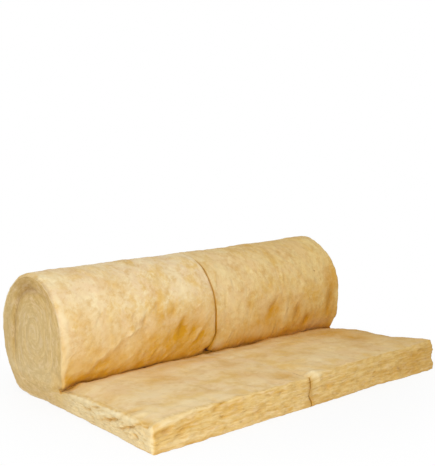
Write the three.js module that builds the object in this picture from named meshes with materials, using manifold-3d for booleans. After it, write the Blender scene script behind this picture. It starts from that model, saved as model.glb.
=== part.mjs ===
// A roll of glass-wool insulation, partly unrolled on a flat floor.
//
// The mat is slit lengthways into strips that fit between studs, and all the strips are wound together.
// Each strip is one piece of wool: a free tongue lies flat on the floor, then turns up at the back and
// winds over the top, down the front and on inwards to the core. The wool is squeezed in the roll and
// swells again along the tongue. The roll's own weight flattens its underside onto the tongue.
//
// Millimetres, +Z up. X runs along the roll, and the tongue points to -Y.
// The origin is on the floor, at the centre of the bounding box.
import * as THREE from 'three';
import { mergeVertices } from 'three/addons/utils/BufferGeometryUtils.js';
import Module from 'manifold-3d';

const wasm = await Module();
wasm.setup();

// ---------------------------------------------------------------- driving dimensions

const STRIP_NAMES = ['left_wool_strip', 'right_wool_strip']; // side by side along X
const STRIP_WIDTH = 600; // fits between studs at 600 mm centres
const SLIT_GAP = 0.6; // knife slit between two strips

const ROLL_RADIUS = 210; // winding centre down to the floor
const WOUND_THICKNESS = 40; // one turn of squeezed mat
const OUTER_SWELL = 28; // the outermost turn is this much thicker where it bulges, at front and back
const CORE_SHIFT = 10; // how far the inner turns have slipped towards the tongue
const CORE_RADIUS = 18; // where the winding starts

const TONGUE_LENGTH = 630; // free mat, from below the winding centre to its cut end
const FULL_THICKNESS = 93; // the mat when it has swelled right up
const RECOVERY_LENGTH = 136; // unrolled length over which 63% of the squeeze is lost

const HEEL_SAG = 2.8; // section exponent of the full heel at the floor, 2 being round
const BACK_SAG = 2.45; // the same above the heel
const NIP_SAG = 3.7; // the same where the roll lies on its tongue
const CORE_SAG = 2; // the same at the core
const HEEL_ANGLE = THREE.MathUtils.degToRad(30); // winding angle at which the heel ends
const BACK_ANGLE = THREE.MathUtils.degToRad(50); // winding angle at which the back has begun
const NIP_ANGLE = THREE.MathUtils.degToRad(330); // winding angle at which the roll sags most
const SWELL_ANGLE = THREE.MathUtils.degToRad(430); // by this angle the outer turn has swelled right up
const TIGHT_SWELL = 0.25; // share of the swell that is left above and below, where the turns press

const RIM_RADIUS = 8; // rounding of the mill-cut outer ends
const CORNER_RADIUS = 12; // rounding of the tongue's cut end, top and bottom
const RIM_LIMIT = 0.75; // the rim is rounded by at most this share of the tongue's corner

const SEAM_WIDTH = 2.4; // the line between two turns, open at the strip's ends
const SEAM_DEPTH = 16; // how far in that line stays open

const OUTLINE_STEP = THREE.MathUtils.degToRad(5);
const SEAM_STEP = THREE.MathUtils.degToRad(10);
const TONGUE_STEPS = 12;
const CORNER_STEPS = 4;
const RIM_STEPS = 3;

const FULL_TURN = 2 * Math.PI;
const CORE_ANGLE = ((ROLL_RADIUS - OUTER_SWELL - CORE_RADIUS) / WOUND_THICKNESS) * FULL_TURN;

const SAG_STATIONS = [
  [0, HEEL_SAG],
  [HEEL_ANGLE, HEEL_SAG],
  [BACK_ANGLE, BACK_SAG],
  [NIP_ANGLE, NIP_SAG],
  [CORE_ANGLE, CORE_SAG],
];

// ---------------------------------------------------------------- the section, in the YZ plane

// How square the lower half of the winding is at a winding angle, as the exponent of a superellipse.
function sagAt(angle) {
  const { lerp, inverseLerp } = THREE.MathUtils;
  const next = SAG_STATIONS.findIndex(([end]) => angle <= end);
  const [[from, sag], [to, nextSag]] = SAG_STATIONS.slice(Math.max(next, 1) - 1);
  return lerp(sag, nextSag, inverseLerp(from, to, angle));
}

// The mat's outer face at a winding angle, measured from the floor, back, up, over and inwards.
// The point is relative to the tangent point where the mat leaves the floor.
function windingPoint(angle, outwards = 0) {
  const across = Math.abs(Math.sin(angle));
  const down = Math.cos(angle);
  const sag = sagAt(angle);
  const inside = THREE.MathUtils.smoothstep(angle, NIP_ANGLE, SWELL_ANGLE);
  const swell = OUTER_SWELL * inside * THREE.MathUtils.lerp(TIGHT_SWELL, 1, across ** 2);
  const round = ROLL_RADIUS - (WOUND_THICKNESS * angle) / FULL_TURN - swell;
  const squared = down > 0 ? (across ** sag + down ** sag) ** (-1 / sag) : 1;
  const radius = round * squared + outwards;
  return new THREE.Vector2(radius * Math.sin(angle) - CORE_SHIFT * inside, ROLL_RADIUS - radius * down);
}

// Thickness of the unrolled mat at a distance from the tangent point.
function matThickness(distance) {
  const left = Math.exp(-Math.max(distance, 0) / RECOVERY_LENGTH);
  return FULL_THICKNESS - (FULL_THICKNESS - WOUND_THICKNESS) * left;
}

// The winding angle at which the roll's front comes down onto the tongue's upper face.
function creaseAngle() {
  const height = (angle) => {
    const point = windingPoint(angle);
    return point.y - matThickness(-point.x);
  };
  let above = FULL_TURN * 0.75;
  let below = FULL_TURN;
  for (let i = 0; i < 40; i += 1) {
    const middle = (above + below) / 2;
    if (height(middle) > 0) above = middle;
    else below = middle;
  }
  return above;
}

// The line between two turns: on the tongue's upper face as far as the tangent point, then the winding.
function seamPoint(angle, outwards) {
  const point = windingPoint(angle, outwards);
  if (angle < FULL_TURN) point.y = Math.max(point.y, matThickness(-point.x) - outwards);
  return point;
}

function stepped(from, to, step, point) {
  const count = Math.max(1, Math.ceil((to - from) / step));
  return Array.from({ length: count + 1 }, (_, i) => point(from + ((to - from) * i) / count));
}

// The strip's outline: along the floor, round the roll to the crease, and back along the tongue.
function stripSection() {
  const crease = creaseAngle();
  const start = windingPoint(crease);
  const endHeight = matThickness(TONGUE_LENGTH);
  const corner = Math.min(CORNER_RADIUS, endHeight / 2);
  const topLength = TONGUE_LENGTH - corner + start.x;
  const bottomCorner = stepped(Math.PI, 1.5 * Math.PI, Math.PI / 2 / CORNER_STEPS, (a) =>
    new THREE.Vector2(
      corner * (1 + Math.cos(a)) - TONGUE_LENGTH,
      corner * (1 + Math.sin(a)),
    ));
  const roll = stepped(0, crease, OUTLINE_STEP, (a) => windingPoint(a));
  const top = stepped(0, topLength, topLength / TONGUE_STEPS, (d) =>
    new THREE.Vector2(start.x - d, matThickness(d - start.x))).slice(1);
  const shoulder = top.at(-1).y;
  const topCorner = stepped(0.5 * Math.PI, Math.PI, Math.PI / 2 / CORNER_STEPS, (a) =>
    new THREE.Vector2(
      corner * (1 + Math.cos(a)) - TONGUE_LENGTH,
      shoulder - corner * (1 - Math.sin(a)),
    )).slice(1);
  return [...bottomCorner, ...roll, ...top, ...topCorner];
}

// The line between the turns, as a thin band from the crease to the core.
function seamSection() {
  const start = creaseAngle() - SEAM_STEP / 4;
  const side = (outwards) =>
    stepped(start, CORE_ANGLE, SEAM_STEP, (a) => seamPoint(a, outwards));
  return [...side(SEAM_WIDTH / 2), ...side(-SEAM_WIDTH / 2).reverse()];
}

// ---------------------------------------------------------------- solids

// Extrudes a section of YZ points along +X from x = 0. The ends are rounded if a radius is given.
function alongX(points, length, rim = 0) {
  const geometry = new THREE.ExtrudeGeometry(new THREE.Shape(points), {
    depth: length - 2 * rim,
    bevelEnabled: rim > 0,
    bevelThickness: rim,
    bevelSize: rim,
    bevelOffset: -rim,
    bevelSegments: RIM_STEPS,
  });
  const [x, y, z] = [0, 1, 2].map((i) => new THREE.Vector3().setComponent(i, 1));
  return geometry.translate(0, 0, rim).applyMatrix4(new THREE.Matrix4().makeBasis(y, z, x));
}

function toSolid(geometry) {
  const bare = geometry.clone().deleteAttribute('normal').deleteAttribute('uv');
  const merged = mergeVertices(bare, 1e-4);
  return new wasm.Manifold(new wasm.Mesh({
    numProp: 3,
    vertProperties: merged.attributes.position.array,
    triVerts: new Uint32Array(merged.index.array),
  }));
}

function toGeometry(solid) {
  const { vertProperties, triVerts } = solid.getMesh();
  const geometry = new THREE.BufferGeometry();
  geometry.setAttribute('position', new THREE.BufferAttribute(vertProperties, 3));
  geometry.setIndex(new THREE.BufferAttribute(triVerts, 1));
  const faceted = geometry.toNonIndexed();
  faceted.computeVertexNormals();
  return faceted;
}

// One strip with its mill-cut end at x = 0, rounded, and its knife-cut end square.
function stripSolid() {
  const width = STRIP_WIDTH - SLIT_GAP / 2;
  const rim = Math.min(RIM_RADIUS, RIM_LIMIT * CORNER_RADIUS);
  const blank = toSolid(alongX(stripSection(), width + 2 * rim, rim));
  const size = 4 * (ROLL_RADIUS + TONGUE_LENGTH);
  const offcut = toSolid(new THREE.BoxGeometry(size, size, size).translate(width + size / 2, 0, 0));
  const seam = alongX(seamSection(), 2 * SEAM_DEPTH).translate(-SEAM_DEPTH, 0, 0);
  return blank
    .subtract(offcut)
    .subtract(toSolid(seam))
    .subtract(toSolid(seam.clone().translate(width, 0, 0)));
}

// ---------------------------------------------------------------- the roll

const wool = new THREE.MeshStandardMaterial({ color: 0xe3c384, roughness: 0.95, metalness: 0 });

const solid = stripSolid();
const { min, max } = solid.boundingBox();
const centreY = (min[1] + max[1]) / 2;

const roll = new THREE.Group();
STRIP_NAMES.forEach((name, i) => {
  const isLeft = i === 0;
  const strip = new THREE.Mesh(toGeometry(isLeft ? solid : solid.mirror([1, 0, 0])), wool);
  strip.name = name;
  strip.position.set(isLeft ? -STRIP_WIDTH : STRIP_WIDTH, -centreY, 0);
  roll.add(strip);
});

export default roll;
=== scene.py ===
"""A part-unrolled roll of glass wool, slit into two strips, on a plain studio floor."""

import math
from types import SimpleNamespace

import bmesh
import bpy
import numpy as np
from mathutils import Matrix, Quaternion, Vector, noise


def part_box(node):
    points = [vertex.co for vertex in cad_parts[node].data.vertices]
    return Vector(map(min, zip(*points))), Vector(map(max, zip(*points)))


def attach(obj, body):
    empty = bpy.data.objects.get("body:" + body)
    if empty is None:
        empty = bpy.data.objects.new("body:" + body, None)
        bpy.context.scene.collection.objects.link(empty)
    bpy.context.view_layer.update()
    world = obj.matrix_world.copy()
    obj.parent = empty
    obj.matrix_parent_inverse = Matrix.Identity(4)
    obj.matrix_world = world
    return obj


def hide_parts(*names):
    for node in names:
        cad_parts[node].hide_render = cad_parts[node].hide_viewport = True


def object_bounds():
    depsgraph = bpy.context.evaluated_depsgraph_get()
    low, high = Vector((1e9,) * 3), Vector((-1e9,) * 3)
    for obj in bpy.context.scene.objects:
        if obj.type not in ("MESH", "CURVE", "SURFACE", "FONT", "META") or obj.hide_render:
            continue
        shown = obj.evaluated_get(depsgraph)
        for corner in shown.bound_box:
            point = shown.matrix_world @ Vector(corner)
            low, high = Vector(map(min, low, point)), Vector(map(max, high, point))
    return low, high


bl_info = {
    "name": "Glass Wool Roll",
    "version": (1, 0, 0),
    "blender": (4, 5, 0),
    "location": "View3D > Sidebar > Wool Roll",
    "description": "Builds a part-unrolled roll of slit glass wool mat",
    "category": "Add Mesh",
}

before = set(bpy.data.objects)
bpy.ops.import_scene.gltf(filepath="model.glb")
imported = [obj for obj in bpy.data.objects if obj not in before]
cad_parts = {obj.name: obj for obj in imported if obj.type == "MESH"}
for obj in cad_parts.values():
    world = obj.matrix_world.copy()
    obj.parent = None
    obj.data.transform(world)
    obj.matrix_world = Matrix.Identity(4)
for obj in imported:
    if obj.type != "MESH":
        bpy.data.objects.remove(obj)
cad_low, cad_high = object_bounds()

TURN = 2 * math.pi
HALF_WIDTH = cad_high[0]  # of the whole roll
ROLL_HEIGHT = 0.4
STRIPS = {"left_wool_strip": -1, "right_wool_strip": 1}  # node and the side of the slit it lies on


# ---- sizes and colours


def measure(name, description, default, low=0):
    """A length setting."""
    return bpy.props.FloatProperty(
        name=name, description=description, default=default, min=low, unit="LENGTH")


class WoolRollSizes(bpy.types.PropertyGroup):
    """Sizes of the roll and of its wool's relief."""

    roll_radius: measure("Roll Radius", "Winding centre down to the floor", 0.21, 0.05)
    wound: measure("Wound Thickness", "One turn of squeezed mat", 0.04, 0.01)
    outer_swell: measure("Outer Swell", "How much thicker the outermost turn is at front and back", 0.028)
    core_shift: measure("Core Shift", "How far the inner turns have slipped towards the tongue", 0.01)
    tongue: measure("Tongue Length", "Free mat, from below the winding centre to its cut end", 0.63, 0.3)
    full: measure("Full Thickness", "The mat when it has swelled right up", 0.093, 0.02)
    recovery: measure("Recovery Length", "Unrolled length over which 63% of the squeeze goes", 0.136, 0.05)
    crease_depth: measure("Crease Depth", "How far in the crease between roll and tongue runs", 0.016, 0.005)
    crease_width: measure("Crease Width", "Mouth of that crease", 0.0035)
    rim: measure("Rim Rounding", "Rounding of the roll's outer ends", 0.008)
    seam: measure("Seam Depth", "Depth of the line between two turns at the ends", 0.0018)
    lumps: measure("Lumps", "Height of the broad swells in the wool's face", 0.004)
    tear: measure("Tear", "Depth of the torn layers on the tongue's cut faces", 0.004)


def hex_colour(text):
    """sRGB hex to linear RGB."""
    parts = [int(text[i:i + 2], 16) / 255 for i in (1, 3, 5)]
    return [c / 12.92 if c <= 0.04045 else ((c + 0.055) / 1.055) ** 2.4 for c in parts]


def colour(name, description, text):
    """A colour setting whose default is an sRGB hex value."""
    return bpy.props.FloatVectorProperty(
        name=name, description=description, default=hex_colour(text), subtype="COLOR", min=0, max=1)


class WoolRollColours(bpy.types.PropertyGroup):
    """Colours of the glass wool and of the studio."""

    cream: colour("Cream", "Clean face of the wool", "#ECD4A6")
    # also the colour of the painted highlights at the left rim, on the tongue's side and on raised ridges
    pale: colour("Pale", "Palest, fluffed-up wool", "#F4E3B8")
    blush: colour("Blush", "Greyer, pinkish cloud in the face", "#E8CBA0")
    straw: colour("Straw", "Yellower cloud in the face", "#DEB562")
    tan: colour("Tan", "Darker cloud in the face", "#CDA057")
    # partly painted shade: it darkens the right strip more towards its right end
    browned_and_shaded: colour("Browned", "What the browner strip's colours are multiplied by", "#F6ECC9")
    # also painted as shade: the amber low on the roll's front, in the slit and in the crease
    resin: colour("Resin", "Binder-rich, amber wool", "#D29A20")
    cut: colour("Cut", "Wool torn open on the tongue", "#DCBA76")
    cut_pale: colour("Cut Pale", "Pale layers of a cut face", "#EDD298")
    cut_dark: colour("Cut Dark", "Dark layers of a cut face", "#C89B4C")
    olive: colour("Olive", "Duller layers of the mill-cut ends", "#BF9C55")
    sawn: colour("Sawn", "Wool of the roll's mill-cut ends", "#D9B674")
    # painted shade: the colour that pockets, seams, pits, the slit and the crease are darkened towards
    cavity_shade: colour("Cavity", "Inside of a torn pocket or a seam", "#7E4A12")
    floor: colour("Floor", "Studio floor", "#F8F8F6")


# ---- the mat's section


def smooth(value, start, end):
    """0 before start, 1 after end, with an eased change between."""
    t = np.clip((np.asarray(value, float) - start) / (end - start), 0, 1)
    return t * t * (3 - 2 * t)


def bell(value, width):
    """1 where the value is 0, falling off on both sides to about a third at width."""
    return np.exp(-(value / width) ** 2)


def coords(*parts):
    """Points from their coordinates, each an array or one number for all."""
    return np.stack(np.broadcast_arrays(*parts), -1)


def noise_at(points, size=1, seed=0):
    """Smooth noise from -1 to 1 whose lumps are about one size across, for each point."""
    scaled = points / np.broadcast_to(size, (3,)) + seed
    return np.array([noise.noise(Vector(point)) for point in scaled])


def core_angle(s):
    """Winding angle at which the mat's outer face reaches the winding centre."""
    return TURN * (s.roll_radius - s.outer_swell) / s.wound


def winding(angle, s):
    """The mat's outer face at winding angles from the floor, back, up, over and inwards, as (y, z)."""
    angle = np.asarray(angle, float)
    heel, back, nip, swelled = np.radians((30, 50, 330, 430))
    core = core_angle(s)
    sag = np.interp(angle, [0, heel, back, nip, core], [2.8, 2.8, 2.45, 3.7, 2])  # 2 is round
    across, down = np.abs(np.sin(angle)), np.cos(angle)
    lower = np.maximum(down, 0)
    squared = np.where(down > 0, (across ** sag + lower ** sag) ** (-1 / sag), 1)
    inside = smooth(angle, nip, swelled)
    tight = 0.25 + 0.75 * smooth(angle, TURN * 2.5, core)
    swell = s.outer_swell * inside * (tight + (1 - tight) * across ** 2)
    radius = squared * np.maximum(s.roll_radius - s.wound * angle / TURN - swell, 0)
    y = radius * np.sin(angle) - s.core_shift * inside
    return coords(y, s.roll_radius - radius * down)


def thickness(distance, s):
    """Thickness of the unrolled mat at a distance from where it leaves the floor."""
    left = np.exp(-np.maximum(distance, 0) / s.recovery)
    return s.full - (s.full - s.wound) * left


def crease_angle(s):
    """Winding angle at which the roll's front comes down onto the tongue."""
    angles = np.linspace(0.75 * TURN, TURN, 4000)
    y, z = winding(angles, s).T
    return float(angles[np.argmax(z < thickness(-y, s))])


def spaced(start, close, end, count, close_count):
    """Stations from start to end, of which the last close_count lie closer together, after close."""
    return np.concatenate([
        np.linspace(start, close, count - close_count),
        np.linspace(close, end, close_count + 2)[1:]])


def run_along(points):
    """How far along its line each point lies."""
    return np.concatenate([[0], np.cumsum(np.linalg.norm(np.diff(points, axis=0), axis=1))])


class Mat:
    """Stations along the mat, from the tongue's cut end to the core, each an outer and an inner point."""

    TONGUE, EXPOSED, HIDDEN, CLOSE, TURNS = 108, 220, 20, 14, 5
    # divisions through the mat on the tongue, and through each turn at an end and in the slit
    LAYERS, TURN_LAYERS, SLIT_LAYERS = 36, 10, 2
    # rows across a strip, at each of its rounded rims and from rim to rim
    RIM_ROWS, FACE_ROWS = 6, 111
    SET_BACK = 0.006  # how far the tongue's upper edge lies behind its lower one

    def __init__(self, s):
        crease = crease_angle(s)
        weld = crease + s.crease_depth / s.roll_radius
        exposed = spaced(0, crease - 0.2, weld, self.EXPOSED, self.CLOSE)
        hidden = np.linspace(weld, TURN, self.HIDDEN + 1)[1:]
        turn = np.concatenate([exposed, hidden])
        angles = np.concatenate([turn[1:] + TURN * k for k in range(self.TURNS)])
        angles = np.append(angles[angles < core_angle(s)], core_angle(s))
        self.crease_y = float(winding(crease, s)[0])
        weld_y = float(winding(weld, s)[0])
        free_y = spaced(-s.tongue, self.crease_y - 0.04, weld_y, self.TONGUE, self.CLOSE)
        roll_y, roll_z = winding(np.linspace(crease, weld, 30), s).T
        # past the crease the tongue lies under the roll, and the groove between them closes up
        open_side = np.exp(np.minimum(free_y - self.crease_y, 0) / 0.012)
        closing = np.clip((weld_y - free_y) / (weld_y - self.crease_y), 0, 1)
        free_z = np.where(free_y < self.crease_y, thickness(-free_y, s), np.interp(free_y, roll_y, roll_z))
        groove = s.crease_width * open_side * closing
        set_back = self.SET_BACK * np.exp(-(free_y + s.tongue) / 0.025)
        free_top = coords(free_y + set_back, free_z)
        under_top = winding(hidden, s)
        floor_y = np.concatenate([free_y, under_top[:, 0]])
        self.outer = np.concatenate([coords(floor_y, 0), winding(angles, s)])
        self.inner = np.concatenate([free_top, under_top, winding(angles + TURN, s)])
        # the winding angle of the seam on each side of a station, or 0 where that side is open
        self.outer_seam = np.concatenate([0 * floor_y, np.where(angles > weld + 1e-9, angles, 0)])
        self.inner_seam = np.concatenate([0 * free_y, hidden, angles + TURN])
        self.weld = weld
        self.exposed_count = self.TONGUE + 1 + self.HIDDEN + self.EXPOSED  # their outer side shows
        self.first_wound = self.TONGUE + self.HIDDEN  # the station where the mat leaves the floor
        self.run = run_along((self.outer + self.inner) / 2)
        self.layer_t = np.linspace(0, 1, self.LAYERS + 1)
        self.turn_t = (1 - np.cos(math.pi * np.linspace(0, 1, self.TURN_LAYERS + 1))) / 2
        self.slit_t = np.linspace(0, 1, self.SLIT_LAYERS + 1)
        self.close_outline(s, groove)

    def close_outline(self, s, groove):
        """The closed outline: along the floor, round the roll, back along the tongue, down its cut end."""
        t = self.layer_t[::-1, None]
        end = self.outer[0] * (1 - t) + self.inner[0] * t
        end[:, 0] += self.SET_BACK * (t[:, 0] ** 6 - t[:, 0]) - 0.003 * np.sin(math.pi * t[:, 0])
        self.outer[0], self.inner[0] = end[-1], end[0]
        # how far the crease's groove lowers each point of the outline
        self.groove = np.concatenate([
            np.zeros(self.exposed_count), groove[self.TONGUE - 1::-1], np.zeros(self.LAYERS)])
        self.ring = np.concatenate([
            self.outer[:self.exposed_count], self.inner[self.TONGUE - 1::-1], end[1:]])
        # where on the outline the roll meets the tongue, and where the cut end starts
        self.nip = self.exposed_count - 1
        self.end_first = self.nip + self.TONGUE
        step = np.roll(self.ring[:-1], -1, 0) - np.roll(self.ring[:-1], 1, 0)
        inwards = coords(-step[:, 1], step[:, 0])
        inwards /= np.linalg.norm(inwards, axis=1)[:, None]
        self.inwards = np.concatenate([inwards, inwards[:1]])
        self.length = run_along(self.ring)
        # which stretch of the outline each ring point lies on
        index = np.arange(len(self.ring))
        self.on_roll = smooth(index, self.TONGUE - 6, self.TONGUE + 24) * (index <= self.nip)
        self.on_end = (index >= self.end_first) | (index == 0)
        # towards the cut end the way inwards turns along the mat, so that its corners keep their shape
        share = np.concatenate([np.zeros(self.end_first), t[:, 0]])
        share[0] = 0
        near_cut = np.exp(-(self.ring[:, 0] + s.tongue) / 0.05) * (self.ring[:, 1] < s.full * 1.1)
        near_cut[self.on_end] = 1
        self.inwards[:, 0] += near_cut * (1 - self.inwards[:, 0])
        self.inwards[:, 1] = np.where(self.on_end, 1 - 2 * share, self.inwards[:, 1])


# ---- mesh building


def sheet(bm, points, cut, through, chart):
    """Adds a grid of quads laid on an array of points, with its marks and its UV chart."""
    rows, columns = points.shape[0] - 1, points.shape[1] - 1
    verts = bmesh.ops.create_grid(bm, x_segments=rows, y_segments=columns, size=1)["verts"]
    cut_layer = bm.verts.layers.float["cut"]
    through_layer = bm.verts.layers.float["through"]
    chart_layer = bm.loops.layers.uv["mat"]
    place = {v: (round((v.co.x + 1) / 2 * rows), round((v.co.y + 1) / 2 * columns)) for v in verts}
    faces = {face for v in verts for face in v.link_faces}
    for face in faces:
        for loop in face.loops:
            loop[chart_layer].uv = chart[place[loop.vert]]
    for v, cell in place.items():
        v.co = points[cell]
        v[cut_layer] = cut[cell]
        v[through_layer] = through[cell]


def slit_profile(mat):
    """Half width and depth of the slit's worn lips at each ring point: most worn low on the roll's front."""
    y, z = mat.ring.T
    front = smooth(y, 0.05, -0.1) * mat.on_roll
    low = smooth(z, 0.3, 0.1) * front
    width = np.where(mat.on_roll > 0, 0.0004 + 0.0012 * front + 0.0022 * low, 0.0002)
    depth = np.where(mat.on_roll > 0, 0.0004 + 0.003 * front + 0.006 * low, 0.0002)
    near_end = smooth(y, y.min() + 0.03, y.min()) * ~mat.on_end * (mat.on_roll == 0)
    width += 0.0012 * near_end + 0.0022 * mat.on_end
    depth += 0.0016 * near_end + 0.005 * mat.on_end
    return width, depth


def across_rows(mat, s, side, low, high):
    """Rows across the strip, from the slit to the mill-cut end: their x and how far in they lie."""
    start, end = sorted((abs(low), abs(high)))
    slit_width, slit_depth = slit_profile(mat)
    # the mat's long edges are rounder on the tongue's upper face
    y, z = mat.ring.T
    upper = smooth(z, 0.02, 0.06) * (1 - mat.on_roll) * smooth(y, mat.crease_y, mat.crease_y - 0.12)
    # and the roll's left end has a soft, round front rim
    soft = mat.on_roll * smooth(y, 0.08, -0.02) * smooth(z, 0.11, 0.2) * (side < 0)
    rim = s.rim * (1 + 0.5 * upper + 0.25 * soft)
    rim_run = s.rim * (1 + 0.5 * upper + 1.3 * soft)
    bend = np.linspace(0, math.pi / 2, mat.RIM_ROWS)[:, None]
    share = np.linspace(0, 1, mat.FACE_ROWS)[1:-1, None]
    first, last = start + slit_width, end - rim_run
    rows_x = np.concatenate([
        start + slit_width * (1 - np.sin(bend[::-1])),
        first + (last - first) * share,
        end - rim_run * (1 - np.sin(bend))])
    inset = np.concatenate([
        slit_depth * (1 - np.cos(bend[::-1])), 0 * rim * share, rim * (1 - np.cos(bend))])
    return side * rows_x, inset


def seam_depth(angle, mat, s):
    """Depth and half width of the seam at a winding angle: it gapes behind the outermost turn."""
    angle = np.minimum(angle, core_angle(s))  # the innermost turn closes on one point
    gape = smooth(angle, TURN * 1.1, TURN * 1.22) * (1 - smooth(angle, TURN * 1.4, TURN * 1.6))
    opening = smooth(angle, mat.weld, mat.weld + 0.15)
    fade = 1 - 0.5 * smooth(angle, TURN * 1.4, TURN * 2.4)
    uneven = 0.7 + 0.6 * noise_at(coords(angle / 0.5, 1.5, 4.5))
    depth = np.where(angle > 0, (s.seam * opening * fade + 0.003 * gape) * uneven, 0)
    return depth, 0.0035 + 0.0065 * gape


def end_sheet(bm, mat, s, out, x_end, ring_end, first, last, columns, turn_t):
    """Adds a stretch of an end face: one row a station, one column a layer through the mat."""
    outer, inner = mat.outer.copy(), mat.inner.copy()
    outer[:mat.exposed_count] = ring_end[:mat.exposed_count]
    inner[:mat.TONGUE + 1] = ring_end[mat.nip:mat.end_first + 1][::-1]
    stations = slice(first, last)
    t = np.tile(columns, (last - first, 1))
    if last == mat.first_wound + 1:
        # the last row takes the fewer columns of the wound mat, so that the two stretches weld
        t[-1] = turn_t[np.round(columns * (len(turn_t) - 1)).astype(int)]
    flat = outer[stations, None] * (1 - t[..., None]) + inner[stations, None] * t[..., None]
    if first == 0:
        flat[0] = ring_end[mat.end_first:][::-1]
    gap = np.linalg.norm(inner - outer, axis=1)[stations, None] + 1e-6
    outer_depth, outer_valley = (part[stations, None] for part in seam_depth(mat.outer_seam, mat, s))
    inner_depth, inner_valley = (part[stations, None] for part in seam_depth(mat.inner_seam, mat, s))
    depth = sum(deepest * np.exp(-(through * gap / valley) ** 1.3) for deepest, through, valley in (
        (outer_depth, t, outer_valley), (inner_depth, 1 - t, inner_valley)))
    depth = np.where(t == 0, outer_depth, np.where(t == 1, inner_depth, depth))
    # each turn's end bulges between its seams, and the mill-cut edge wandered as it was wound
    wander = noise_at(coords(mat.run / 0.3, 0.5, 2.5))[stations, None]
    wound = smooth(mat.run, mat.run[mat.TONGUE] - 0.05, mat.run[mat.first_wound] + 0.1)[stations, None]
    middle = 4 * t * (1 - t)
    depth = depth - middle * wound * (0.0004 + 0.0014 * wander)
    depth = np.where(gap < 1e-5, outer_depth, depth)
    points = np.concatenate([(x_end - out * depth)[..., None], flat], -1)
    cut = np.ones(t.shape)
    cut[:, 0] = np.where(mat.outer_seam[stations] > 0, 1, 0.5)
    cut[:, -1] = np.where(mat.inner_seam[stations] > 0, 1, 0.5)
    if first == 0:
        cut[0] = 0.5
    sheet(bm, points, cut, t, coords(mat.run[stations, None] + 2, t * s.full))


def wool_strip(name, side, mat, s):
    """The strip's closed mesh before it settles: its faces, its cut end and its two ends."""
    low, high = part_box(name)
    bm = bmesh.new()
    for label in ("cut", "through"):
        bm.verts.layers.float.new(label)
    bm.loops.layers.uv.new("mat")
    rows_x, inset = across_rows(mat, s, side, low[0], high[0])
    points = mat.ring[None] + mat.inwards[None] * inset[..., None]
    opened = 0.08 + 0.92 * smooth(HALF_WIDTH - np.abs(rows_x), 0.004, 0.03)
    points[..., 1] -= mat.groove * opened
    points[:, -1] = points[:, 0]
    points = np.concatenate([rows_x[..., None], points], -1)
    cut_row = mat.on_end.astype(float)
    cut_row[[0, -1, mat.end_first]] = 0.5
    through_row = np.zeros(len(mat.ring))
    through_row[mat.exposed_count:mat.end_first] = 1
    through_row[mat.end_first:] = mat.layer_t[::-1]
    cut, through = (np.tile(row, (len(rows_x), 1)) for row in (cut_row, through_row))
    cut[[0, -1]] = 0.5
    face_chart, end_chart = coords(mat.length, rows_x), coords(rows_x, through * s.full)
    for stretch, chart in (
            (slice(0, mat.end_first + 1), face_chart), (slice(mat.end_first, None), end_chart)):
        sheet(bm, points[:, stretch], cut[:, stretch], through[:, stretch], chart[:, stretch])
    for row, out, turn_t in ((0, -side, mat.slit_t), (-1, side, mat.turn_t)):
        ring_end, x_end = points[row, :, 1:], rows_x[row, 0]
        for first, last, columns in (
                (0, mat.first_wound + 1, mat.layer_t), (mat.first_wound, len(mat.outer), turn_t)):
            end_sheet(bm, mat, s, out, x_end, ring_end, first, last, columns, turn_t)
    bmesh.ops.remove_doubles(bm, verts=bm.verts, dist=1e-5)
    bmesh.ops.dissolve_degenerate(bm, dist=1e-6, edges=bm.edges)
    bmesh.ops.recalc_face_normals(bm, faces=bm.faces)
    return bm
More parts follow.
